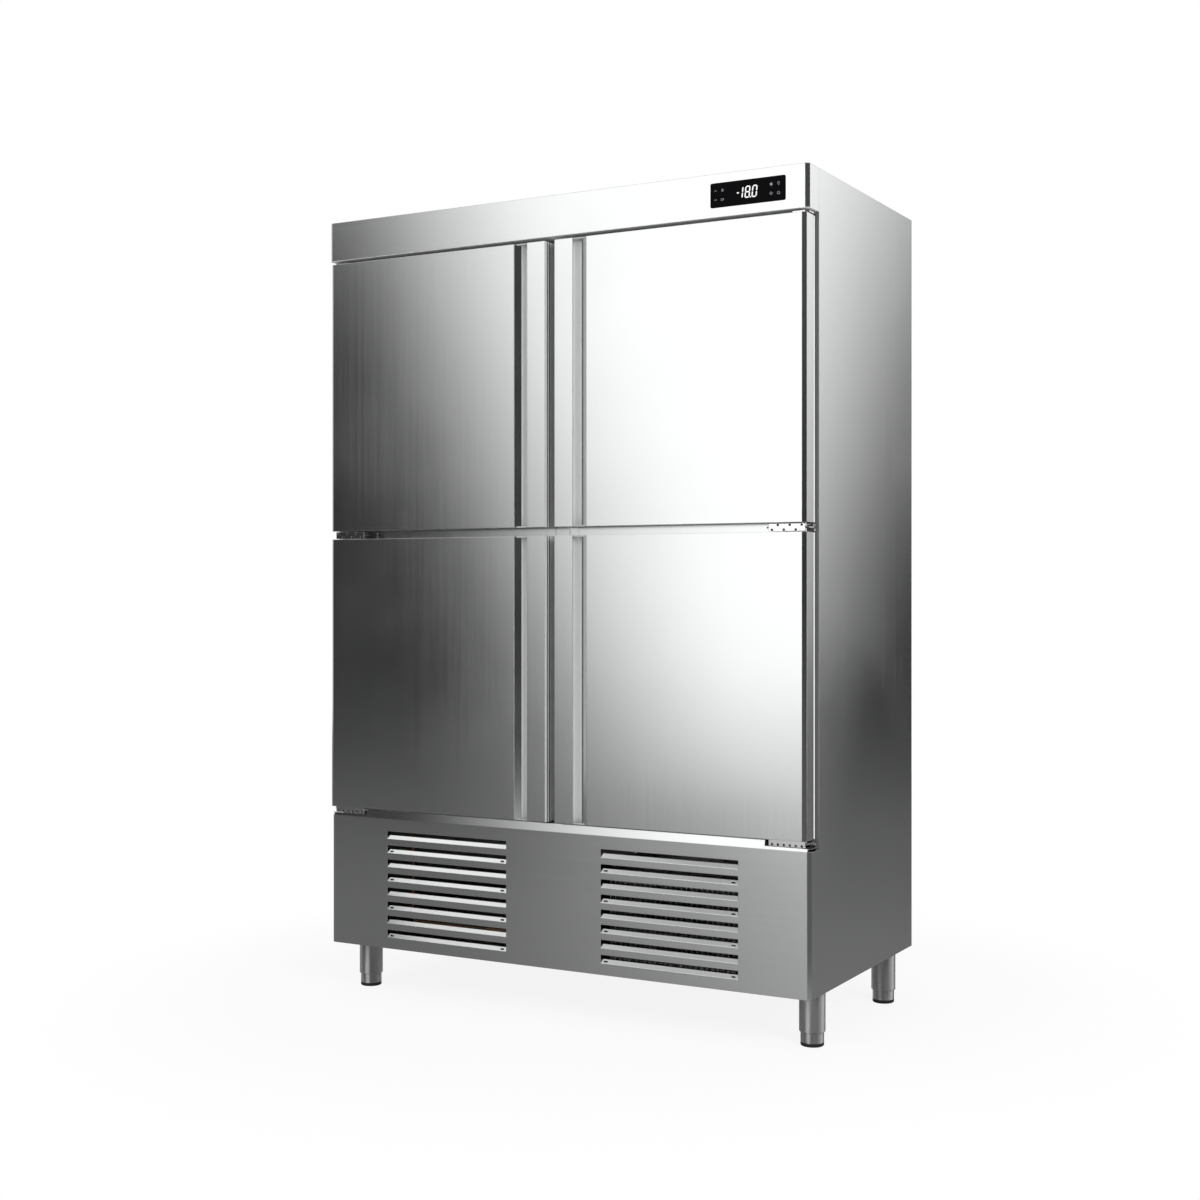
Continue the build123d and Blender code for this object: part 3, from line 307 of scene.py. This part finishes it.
def handle_material():
    """Steel grip and ramp, pale satin steel inside, and a grey free edge with painted shade in its grooves.
    """
    material, tree = new_material("handle")
    coords = own_coords(tree)
    place = add(tree, "SeparateXYZ", {"Vector": coords}).outputs
    size = math_node(tree, "ABSOLUTE", place["X"])
    behind = math_node(tree, "MULTIPLY", math_node(tree, "GREATER_THAN", place["Y"], GRIP_BACK_Y),
                       math_node(tree, "LESS_THAN", size, GRIP_X))
    deep = math_node(tree, "GREATER_THAN", place["Y"], HANDLE_INSIDE_Y)
    inside = math_node(tree, "MAXIMUM", behind, deep)
    # Groove bottoms of the free edge take the near-black painted shade
    groove = math_node(tree, "GREATER_THAN", size, GROOVE_X)
    edge = math_node(tree, "LESS_THAN", size, FREE_EDGE_X)
    finishes = (outer_up, trough, free_edge, shadow_grey)
    outer, hollow, light, dark = [finish(tree, coords, *values).outputs[0] for finish, *values in finishes]
    ribs = add(tree, "MixShader", {0: groove, 1: light, 2: dark}).outputs[0]
    within = add(tree, "MixShader", {0: edge, 1: hollow, 2: ribs}).outputs[0]
    mix = add(tree, "MixShader", {0: inside, 1: outer, 2: within})
    add(tree, "OutputMaterial", {"Surface": mix.outputs[0]})
    return material


steel_across = plain("steel_across", *level)
# Painted light: the header's underside gets a pale diffuse finish in place of steel so that it looks lit
header_finish = split("header", "Z", HEADER_UNDERSIDE, satin, level)
# Painted shade: the sides of the front frame beyond JAMB_X get dark grey in place of steel
frame_finish = split("frame", "X", JAMB_X, outer_up, gasket_grey_and_jamb_shade, both_sides=True)
liner_finish = split("door_liner", "Y", RIM_Y, white_plastic, inner_up)
handle_finish = handle_material()
OWN_FINISHES = {"header_panel": header_finish, "front_frame": frame_finish}


def finish_of(node, slot):
    """Material of a node."""
    if node in OWN_FINISHES:
        return OWN_FINISHES[node]
    if node in LEVEL_NODES:
        return steel_across
    if node.endswith("_handle"):
        return handle_finish
    if node.startswith("door_") and node.endswith("_liner"):
        return liner_finish
    return MATERIALS[slot]


def dress_nodes():
    """Give every node of the frame the finish of its material slot."""
    for subpart in frame["record"]["subparts"]:
        node = subpart["node"]
        data = frame["nodes"][node].data
        data.materials.clear()
        data.materials.append(finish_of(node, subpart["material_slot"]))


def new_piece(name, mesh, finish, body):
    """A mesh of the scene's own, riding on a body."""
    piece = bpy.data.objects.new(name, mesh)
    bpy.context.scene.collection.objects.link(piece)
    mesh.materials.append(finish)
    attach(piece, body)


def closed_mesh(name, shape):
    """Mesh of a drawn shape, with its faces turned outwards."""
    bmesh.ops.recalc_face_normals(shape, faces=shape.faces)
    mesh = bpy.data.meshes.new(name)
    shape.to_mesh(mesh)
    shape.free()
    return mesh


def raise_face(shape, corners, depth):
    """A flat closed plate on a front outline of (x, y, z) corners, reaching back by a depth."""
    front = [shape.verts.new(c) for c in corners]
    back = [shape.verts.new((x, y + depth, z)) for x, y, z in corners]
    shape.faces.new(front)
    shape.faces.new(list(reversed(back)))
    for i in range(len(front)):
        j = (i + 1) % len(front)
        shape.faces.new((front[j], front[i], back[i], back[j]))


# Figures on the display, in metres on its face
DIGIT_HEIGHT = 0.0285
DIGIT_WIDTH = 0.0135
DIGIT_GAP = 0.0045
SEGMENT = 0.0031
SEGMENT_GAP = 0.0004
DIGIT_SLANT = math.tan(math.radians(6))
FIGURE_PROUD = 0.0002
FIGURE_SUNK = 0.0001
SEGMENTS = {"1": "bc", "8": "abcdefg", "0": "abcdef"}
MINUS_SHARE = 0.55


def segment_bars(width, height):
    """Middle line of each of the seven bars of a figure, as two ends in x and z."""
    x, z = width / 2, height / 2
    return {"a": ((-x, z), (x, z)), "b": ((x, z), (x, 0)), "c": ((x, 0), (x, -z)), "d": ((-x, -z), (x, -z)),
            "e": ((-x, 0), (-x, -z)), "f": ((-x, z), (-x, 0)), "g": ((-x, 0), (x, 0))}


def bar_outline(start, end, thickness):
    """Six-cornered bar between two points, pointed at both ends."""
    (xa, za), (xb, zb) = start, end
    length = math.hypot(xb - xa, zb - za)
    ux, uz = (xb - xa) / length, (zb - za) / length
    half = thickness / 2
    low, high = SEGMENT_GAP, length - SEGMENT_GAP
    along = ((low, 0), (low + half, half), (high - half, half),
             (high, 0), (high - half, -half), (low + half, -half))
    return [(xa + ux * a - uz * b, za + uz * a + ux * b) for a, b in along]


def display_figures():
    """The temperature reading of the display, in seven-bar figures."""
    centre = (DISPLAY_LOW + DISPLAY_HIGH) / 2
    y = DISPLAY_LOW.y - FIGURE_PROUD
    depth = FIGURE_PROUD + FIGURE_SUNK
    shape = bmesh.new()

    def place(x, z, offset):
        return (centre.x + offset + x + z * DIGIT_SLANT, y, centre.z + z)

    width = DIGIT_WIDTH - SEGMENT
    height = DIGIT_HEIGHT - SEGMENT
    pitch = DIGIT_WIDTH + DIGIT_GAP
    bars = segment_bars(width, height)
    for figure, offset in (("1", -pitch), ("8", 0.0), ("0", pitch)):
        for letter in SEGMENTS[figure]:
            outline = bar_outline(*bars[letter], SEGMENT)
            raise_face(shape, [place(x, z, offset) for x, z in outline], depth)
    minus = -pitch - DIGIT_WIDTH / 2
    minus_end = DIGIT_WIDTH * MINUS_SHARE / 2
    outline = bar_outline((-minus_end, 0), (minus_end, 0), SEGMENT)
    raise_face(shape, [place(x, z, minus) for x, z in outline], depth)
    point = pitch / 2
    half = SEGMENT / 2
    z = -height / 2
    corners = ((-half, -half), (-half, half), (half, half), (half, -half))
    raise_face(shape, [place(x, z + rise, point) for x, rise in corners], depth)
    mesh = closed_mesh("display_figures", shape)
    lit = plain("lit_white", glowing, (1.0, 1.0, 1.0), 1.0)
    new_piece("display_figures", mesh, lit, "cabinet")


# Touch symbols on the display, in metres: columns from its left edge and rows from its top edge
ICON_SIZE = 0.0085
ICON_LINE = 0.00032
ICON_COLUMNS = {"left": (0.0138, 0.0317), "right": (0.1568, 0.1755)}
ICON_ROWS = (0.0183, 0.0402)


def arc(cx, cz, radius, start, end, steps=16):
    """Points of an arc, in degrees from the x axis."""
    turn = [math.radians(start + (end - start) * i / steps) for i in range(steps + 1)]
    return [(cx + radius * math.cos(a), cz + radius * math.sin(a)) for a in turn]


def icon_lines():
    """Line drawings of the eight touch symbols, each in a square from -1 to 1."""
    chevron = [(-0.7, -0.35), (0, 0.35), (0.7, -0.35)]
    menu = [[(-0.7, z), (0.7, z)] for z in (-0.5, 0.0, 0.5)]
    box = [[(-0.8, -0.5), (0.4, -0.5), (0.4, 0.5), (-0.8, 0.5), (-0.8, -0.5)], [(0.65, -0.3), (0.65, 0.3)]]
    spokes = [[(math.cos(a), math.sin(a)), (-math.cos(a), -math.sin(a))]
              for a in (math.radians(30 + 60 * i) for i in range(3))]
    snow = spokes + [arc(0, 0, 0.5, 0, 360)]
    bulb = [arc(0, 0.25, 0.6, -50, 230), [(-0.3, -0.55), (0.3, -0.55)], [(-0.2, -0.85), (0.2, -0.85)]]
    drops = [[(x, 0.1), (x, -0.7)] for x in (-0.5, 0.0, 0.5)] + [arc(0, 0.1, 0.75, 0, 180)]
    power = [arc(0, 0, 0.75, 125, 415), [(0, 0.3), (0, 0.95)]]
    return {("left", 0, 0): [chevron], ("left", 0, 1): [[(x, -z) for x, z in chevron]],
            ("left", 1, 0): menu, ("left", 1, 1): box, ("right", 0, 0): snow, ("right", 1, 0): bulb,
            ("right", 0, 1): drops, ("right", 1, 1): power}


def display_icons():
    """Touch symbols beside the reading, as thin lines on the glass."""
    curve = bpy.data.curves.new("display_icons", "CURVE")
    curve.dimensions = "3D"
    curve.bevel_depth = ICON_LINE
    curve.bevel_resolution = 1
    for (side, column, row), lines in icon_lines().items():
        cx = DISPLAY_LOW.x + ICON_COLUMNS[side][column]
        cz = DISPLAY_HIGH.z - ICON_ROWS[row]
        for line in lines:
            spline = curve.splines.new("POLY")
            spline.points.add(len(line) - 1)
            for point, (x, z) in zip(spline.points, line):
                point.co = (cx + x * ICON_SIZE / 2, DISPLAY_LOW.y, cz + z * ICON_SIZE / 2, 1)
    drawn = bpy.data.objects.new("display_icons_curve", curve)
    mesh = bpy.data.meshes.new_from_object(drawn)
    bpy.data.objects.remove(drawn)
    lit = plain("lit_grey", glowing, (0.55, 0.56, 0.57), 1.0)
    new_piece("display_icons", mesh, lit, "cabinet")


# Socket screws in the front leaves of the middle and bottom hinges, in metres
LEAF_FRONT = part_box("hinge_brackets")[0].y
LEAF_MIDDLE_X = 0.6336
LEAF_HOLE_PITCH = 0.015
LEAF_HOLE_COUNT = 6
LEAF_HOLE_RISE = 0.0055
LOW_LEAF_HOLE_DROP = 0.013
LEAF_HOLE_RADIUS = 0.0028
SCREW_SINK = 0.0004
SCREW_LENGTH = 0.003
SOCKET_RADIUS = 0.0014
SOCKET_DEPTH = 0.0012
SCREW_SIDES = 24


def ring_points(x, y, z, radius):
    """Points of a circle in an upright plane that faces the front."""
    turns = [2 * math.pi * i / SCREW_SIDES for i in range(SCREW_SIDES)]
    return [(x + radius * math.cos(a), y, z + radius * math.sin(a)) for a in turns]


def socket_screw(shape, x, z):
    """A black socket screw in a leaf hole: chamfered head with a round socket."""
    face = LEAF_FRONT + SCREW_SINK
    chamfer = SCREW_SINK
    rings = [ring_points(x, face + SOCKET_DEPTH, z, SOCKET_RADIUS),
             ring_points(x, face, z, SOCKET_RADIUS),
             ring_points(x, face, z, LEAF_HOLE_RADIUS - chamfer),
             ring_points(x, face + chamfer, z, LEAF_HOLE_RADIUS),
             ring_points(x, face + SCREW_LENGTH, z, LEAF_HOLE_RADIUS)]
    loops = [[shape.verts.new(point) for point in ring] for ring in rings]
    shape.faces.new(loops[0])
    shape.faces.new(list(reversed(loops[-1])))
    for inner, outer in zip(loops, loops[1:]):
        for i in range(SCREW_SIDES):
            j = (i + 1) % SCREW_SIDES
            shape.faces.new((inner[i], inner[j], outer[j], outer[i]))


def leaf_screws():
    """Socket screws of the middle and bottom hinges, on both sides."""
    low_door, high_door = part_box("door_lower_left_skin"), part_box("door_upper_left_skin")
    middle_z = (high_door[0].z + low_door[1].z) / 2
    low_z = low_door[0].z - LOW_LEAF_HOLE_DROP
    for side, name in ((-1, "left"), (1, "right")):
        shape = bmesh.new()
        for i in range(LEAF_HOLE_COUNT):
            x = LEAF_MIDDLE_X + (i - (LEAF_HOLE_COUNT - 1) / 2) * LEAF_HOLE_PITCH
            rise = LEAF_HOLE_RISE if i % 2 else -LEAF_HOLE_RISE
            socket_screw(shape, side * x, middle_z + rise)
            socket_screw(shape, side * x, low_z)
        mesh = closed_mesh("hinge_socket_screws_" + name, shape)
        new_piece("hinge_socket_screws_" + name, mesh, MATERIALS["black_paint"], "cabinet")


def card(name, corners, paint):
    """A studio card that shows only in reflections: it casts no shadow and gives no light of its own."""
    mesh = bpy.data.meshes.new(name)
    mesh.from_pydata(corners, [], [tuple(range(len(corners)))])
    piece = bpy.data.objects.new(name, mesh)
    bpy.context.scene.collection.objects.link(piece)
    material, tree = new_material(name)
    place = add(tree, "SeparateXYZ", {"Vector": own_coords(tree)}).outputs
    emission = add(tree, "Emission", {"Strength": paint(tree, place["X"], place["Y"], place["Z"])})
    add(tree, "OutputMaterial", {"Surface": emission.outputs[0]})
    material.cycles.emission_sampling = "NONE"
    mesh.materials.append(material)
    piece.visible_camera = False
    piece.visible_diffuse = False
    piece.visible_transmission = False
    piece.visible_shadow = False


# Tones of the cards, where 1 is the white of the background. Each card is a blend of soft ramps: a range in
# metres on the card, then the tones at its two ends.
DARK = 0.03
SOFTBOX = 1.68


def linear(tree, x, x_share, z, z_share, offset):
    """A straight mix of two coordinates."""
    part = math_node(tree, "MULTIPLY_ADD", z, z_share, offset)
    return math_node(tree, "MULTIPLY_ADD", x, x_share, part)


def front_wall(tree, x, y, z):
    """Softbox in front, dark to its left, fading down to the grey floor, and dark to its right."""
    along = linear(tree, x, 1.0, z, 0.43, 0.0)
    light = remap(tree, along, -3.15, -1.15, DARK, SOFTBOX)
    floor = remap(tree, x, -3.8, -0.7, 0.1, 1.0)
    low = remap(tree, z, -0.35, 0.8, 0.0, 1.0)
    mixed = math_node(tree, "MULTIPLY_ADD", math_node(tree, "SUBTRACT", light, floor), low, floor)
    right = remap(tree, x, 0.0, 1.2, 0.0, 1.0)
    wall = math_node(tree, "MULTIPLY_ADD", math_node(tree, "SUBTRACT", DARK, mixed), right, mixed)
    ceiling = remap(tree, x, -5.4, -3.0, 1.6, 0.5)
    high = remap(tree, z, 4.0, 5.0, 0.0, 1.0)
    return math_node(tree, "MULTIPLY_ADD", math_node(tree, "SUBTRACT", ceiling, wall), high, wall)


def left_wall(tree, x, y, z):
    """Grey cloth, dark towards the front."""
    return remap(tree, y, -3.4, -1.5, DARK, 0.6)


def right_wall(tree, x, y, z):
    """Dark cloth, a little lighter at the top and at the floor, and grey beside the cabinet."""
    high = remap(tree, z, 1.2, 3.0, 0.042, 0.088)
    low = remap(tree, z, 0.0, 1.2, 0.08, 0.0)
    cloth = math_node(tree, "ADD", high, low)
    return math_node(tree, "ADD", cloth, remap(tree, y, -1.8, -0.3, 0.0, 0.5))


def rear_wall(tree, x, y, z):
    """Light that grows upwards and to the right behind the cabinet."""
    along = linear(tree, x, 2.0, z, 0.65, 0.0)
    along = math_node(tree, "SUBTRACT", along, remap(tree, z, 0.0, 1.1, 0.5, 0.0))
    light = remap(tree, along, 3.15, 5.95, DARK, 1.6)
    return math_node(tree, "ADD", light, remap(tree, z, 0.0, 0.75, 0.125, 0.0))


def front_floor(tree, x, y, z):
    """Grey floor, lighter to the right in front of the cabinet."""
    along = linear(tree, x, 1.0, y, -0.65, -0.61)
    far = remap(tree, y, -4.2, -1.0, 0.125, 0.195)
    light = math_node(tree, "ADD", far, remap(tree, along, -1.0, 2.25, 0.0, 0.74))
    return math_node(tree, "MULTIPLY", light, remap(tree, x, 0.6, 1.6, 1.0, 0.15))


def rear_floor(tree, x, y, z):
    """Grey floor, darker away from the cabinet."""
    return remap(tree, y, 0.0, 2.5, 0.22, 0.16)


def under_floor(tree, x, y, z):
    """Shaded floor under the cabinet and to its left."""
    return remap(tree, y, 0.0, 2.5, 0.2, 0.12)


def across_card(y, reach, rise):
    """Corners of an upright card that faces forwards or backwards."""
    (left, right), (low, high) = reach, rise
    return [(left, y, low), (right, y, low), (right, y, high), (left, y, high)]


def side_card(x, reach, rise):
    """Corners of an upright card that faces sideways."""
    (near, far), (low, high) = reach, rise
    return [(x, near, low), (x, far, low), (x, far, high), (x, near, high)]


def floor_card(left, right, near, far):
    """Corners of a card that lies on the floor."""
    corners = ((left, near), (right, near), (right, far), (left, far))
    return [(x, y, FLOOR_CARD_Z) for x, y in corners]


def studio():
    """Pale floor, white background, cards that the steel reflects, and soft lamps."""
    left, right = FRONT_CARD_REACH
    card("front_card", across_card(WALL_Y, FRONT_CARD_REACH, FRONT_CARD_RISE), front_wall)
    card("left_card", side_card(LEFT_WALL_X, SIDE_CARD_REACH, CARD_RISE), left_wall)
    card("right_card", side_card(RIGHT_WALL_X, SIDE_CARD_REACH, CARD_RISE), right_wall)
    card("rear_card", across_card(REAR_CARD_Y, REAR_CARD_REACH, CARD_RISE), rear_wall)
    card("front_floor_card", floor_card(left, right, WALL_Y, FLOOR_SEAM_Y), front_floor)
    card("rear_floor_card", floor_card(FLOOR_SEAM_X, right, FLOOR_SEAM_Y, FLOOR_CARD_END), rear_floor)
    card("under_floor_card", floor_card(left, FLOOR_SEAM_X, FLOOR_SEAM_Y, FLOOR_CARD_END), under_floor)
    white_world()
    pale_floor()
    for name, values in LAMPS.items():
        lamp(name, *values)


def seen_rays(tree):
    """One where a ray comes from the camera, a reflection or a clear body, and otherwise zero."""
    path = add(tree, "LightPath").outputs
    seen = math_node(tree, "MAXIMUM", path["Is Camera Ray"], path["Is Glossy Ray"])
    return math_node(tree, "MAXIMUM", seen, path["Is Transmission Ray"])


def white_world():
    """White where it is seen, and a plain soft light from all round."""
    world = bpy.data.worlds.new("studio_world")
    bpy.context.scene.world = world
    world.use_nodes = True
    tree = world.node_tree
    clear_nodes(tree)
    strength = remap(tree, seen_rays(tree), 0.0, 1.0, WORLD_LIGHT, 1.0, smooth=False)
    background = add(tree, "Background", {"Color": (1, 1, 1, 1), "Strength": strength})
    add(tree, "OutputWorld", {"Surface": background.outputs[0]})


def pale_floor():
    """White floor that keeps the cabinet's shadow near it and fades into the background further out."""
    mesh = bpy.data.meshes.new("floor")
    size = FLOOR_SIZE
    corners = [(-size, -size, 0), (size, -size, 0), (size, size, 0), (-size, size, 0)]
    mesh.from_pydata(corners, [], [(0, 1, 2, 3)])
    floor = bpy.data.objects.new("floor", mesh)
    bpy.context.scene.collection.objects.link(floor)
    material, tree = new_material("floor")
    coords = own_coords(tree)
    radius = add(tree, "VectorMath", {0: coords}, operation="LENGTH").outputs["Value"]
    grit = noise(tree, coords, GRIT_SCALE)
    matte = add(tree, "BsdfDiffuse", {"Color": tint(tree, grit, (0.86, 0.86, 0.86), (0.9, 0.9, 0.9))})
    white = add(tree, "Emission", {"Strength": 1.0})
    far = remap(tree, radius, 0.8, 1.7, 0.88, 1.0)
    share = math_node(tree, "MULTIPLY", seen_rays(tree), far)
    mix = add(tree, "MixShader", {0: share, 1: matte.outputs[0], 2: white.outputs[0]})
    add(tree, "OutputMaterial", {"Surface": mix.outputs[0]})
    material.cycles.emission_sampling = "NONE"
    mesh.materials.append(material)


def lamp(name, place, size, power):
    """Square soft lamp pointed at the middle of the cabinet."""
    light = bpy.data.lights.new(name, "AREA")
    light.size = size
    light.energy = power
    item = bpy.data.objects.new(name, light)
    item.location = place
    aim = LAMP_AIM - Vector(place)
    item.rotation_euler = aim.to_track_quat("-Z", "Y").to_euler()
    item.visible_glossy = False
    bpy.context.scene.collection.objects.link(item)


def camera():
    """Camera at the photograph's place."""
    data = bpy.data.cameras.new("camera")
    data.sensor_width = SENSOR_MM
    data.lens = CAMERA_FOCAL_PIXELS * SENSOR_MM / IMAGE_PIXELS
    data.shift_y = (HORIZON_ROW - IMAGE_PIXELS / 2) / IMAGE_PIXELS
    item = bpy.data.objects.new("camera", data)
    item.location = CAMERA_PLACE
    item.rotation_euler = (math.radians(90), 0, math.radians(CAMERA_TURN))
    bpy.context.scene.collection.objects.link(item)
    bpy.context.scene.camera = item


dress_nodes()
display_figures()
display_icons()
leaf_screws()
studio()
camera()
bpy.context.scene.view_settings.view_transform = "Standard"
